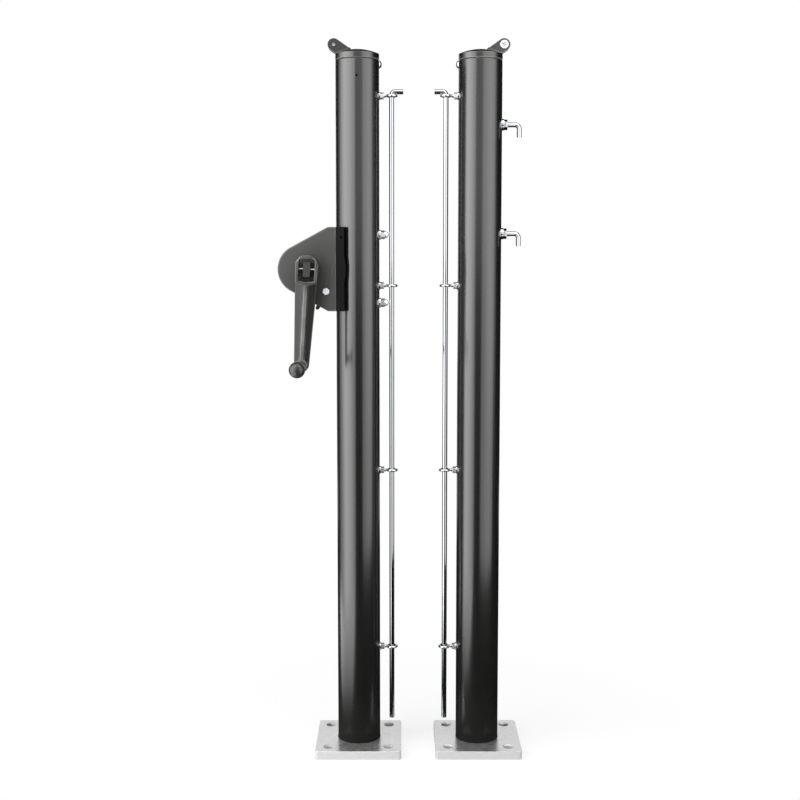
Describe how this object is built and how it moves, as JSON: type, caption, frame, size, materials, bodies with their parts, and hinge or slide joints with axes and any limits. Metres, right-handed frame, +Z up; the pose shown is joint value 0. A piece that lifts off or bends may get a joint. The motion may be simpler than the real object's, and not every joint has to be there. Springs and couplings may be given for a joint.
{
  "type": "pickleball net post",
  "caption": "Pair of black tubular net posts on square floor plates: one with a housed ratchet winch and crank, one with cable hooks, both with a cap pulley and a lacing rod.",
  "frame": {"origin": "centre of the winch post's floor plate on the ground, on the tube's axis", "axes": "+Z up along the posts, +X from the winch post to the hook post, -Y to the front where the crank stands out"},
  "size_m": [0.3202, 0.1913, 0.9436],
  "materials": {
    "black_powder_coat": "semi-gloss black powder coat",
    "satin_black_housing": "satin black coated steel",
    "black_casting": "black coated casting",
    "gloss_black": "smooth black moulding",
    "plate_aluminium": "milled, light grey",
    "chrome": "polished bright plating",
    "plain_steel": "turned steel",
    "sheave_nylon": "dark turned nylon",
    "zinc_plate": "zinc plated"
  },
  "bodies": {
    "posts": {"winch_post_tube": "black_powder_coat", "winch_post_plate": "plate_aluminium", "winch_post_cap": "black_powder_coat", "winch_post_cap_screw": "chrome", "winch_post_axle": "black_powder_coat", "winch_post_eyes": "chrome", "winch_post_eye_nuts": "chrome", "winch_post_eye_inserts": "chrome", "hook_post_tube": "black_powder_coat", "hook_post_plate": "plate_aluminium", "hook_post_cap": "black_powder_coat", "hook_post_cap_screw": "chrome", "hook_post_axle": "chrome", "hook_post_axle_nut": "chrome", "hook_post_eyes": "chrome", "hook_post_eye_nuts": "chrome", "hook_post_eye_inserts": "chrome", "net_hooks": "chrome", "net_hook_washers": "chrome", "net_hook_nuts": "chrome", "net_hook_inner_nuts": "plain_steel", "winch_saddle": "gloss_black", "winch_housing_front": "satin_black_housing", "winch_housing_rear": "satin_black_housing", "winch_mount_bolts": "plain_steel", "winch_mount_washers": "chrome", "winch_acorn_nuts": "chrome", "saddle_screw": "gloss_black", "front_bushing": "sheave_nylon", "rear_bushing": "sheave_nylon", "pawl_bolt": "chrome", "pawl_bolt_nut": "chrome", "pawl_spacer": "zinc_plate"},
    "winch_pulley": {"winch_post_sheave": "sheave_nylon"},
    "hook_pulley": {"hook_post_sheave": "sheave_nylon"},
    "crank": {"drive_shaft": "plain_steel", "ratchet_wheel": "plain_steel", "wheel_rivets": "plain_steel", "cable_drum": "plain_steel", "drum_pin": "zinc_plate", "shaft_washer": "zinc_plate", "shaft_clip": "zinc_plate"},
    "handle": {"crank_handle": "black_casting", "crank_pin": "chrome", "grip_spindle": "chrome"},
    "grip": {"crank_grip": "gloss_black"},
    "pawl": {"pawl": "black_casting", "pawl_spring": "chrome"},
    "winch_rod": {"winch_post_lacing_rod": "chrome"},
    "hook_rod": {"hook_post_lacing_rod": "chrome"}
  },
  "joints": [
    {"name": "winch_pulley_spin", "type": "hinge", "parent": "posts", "child": "winch_pulley", "pos_m": [-0.03, 0, 0.9356], "axis": [0, 1, 0], "continuous": true},
    {"name": "hook_pulley_spin", "type": "hinge", "parent": "posts", "child": "hook_pulley", "pos_m": [0.19, 0, 0.9356], "axis": [0, 1, 0], "continuous": true},
    {"name": "crank_turn", "type": "hinge", "parent": "posts", "child": "crank", "pos_m": [-0.0637, 0, 0.647], "axis": [0, 1, 0], "continuous": true},
    {"name": "handle_swing", "type": "hinge", "parent": "crank", "child": "handle", "pos_m": [-0.0637, -0.047, 0.647], "axis": [-0.998, 0, 0.0628], "range_deg": [0, 40]},
    {"name": "grip_spin", "type": "hinge", "parent": "handle", "child": "grip", "pos_m": [-0.07139, -0.06, 0.52474], "axis": [0, 1, 0], "continuous": true},
    {"name": "pawl_release", "type": "hinge", "parent": "posts", "child": "pawl", "pos_m": [-0.0402, 0, 0.6183], "axis": [0, -1, 0], "range_deg": [0, 10], "stiffness_Nm_per_rad": 0.05, "springref_deg": -28.65},
    {"name": "winch_rod_lift", "type": "slide", "parent": "posts", "child": "winch_rod", "axis": [0, 0, 1], "range_m": [0, 0.84]},
    {"name": "hook_rod_lift", "type": "slide", "parent": "posts", "child": "hook_rod", "axis": [0, 0, 1], "range_m": [0, 0.84]}
  ]
}
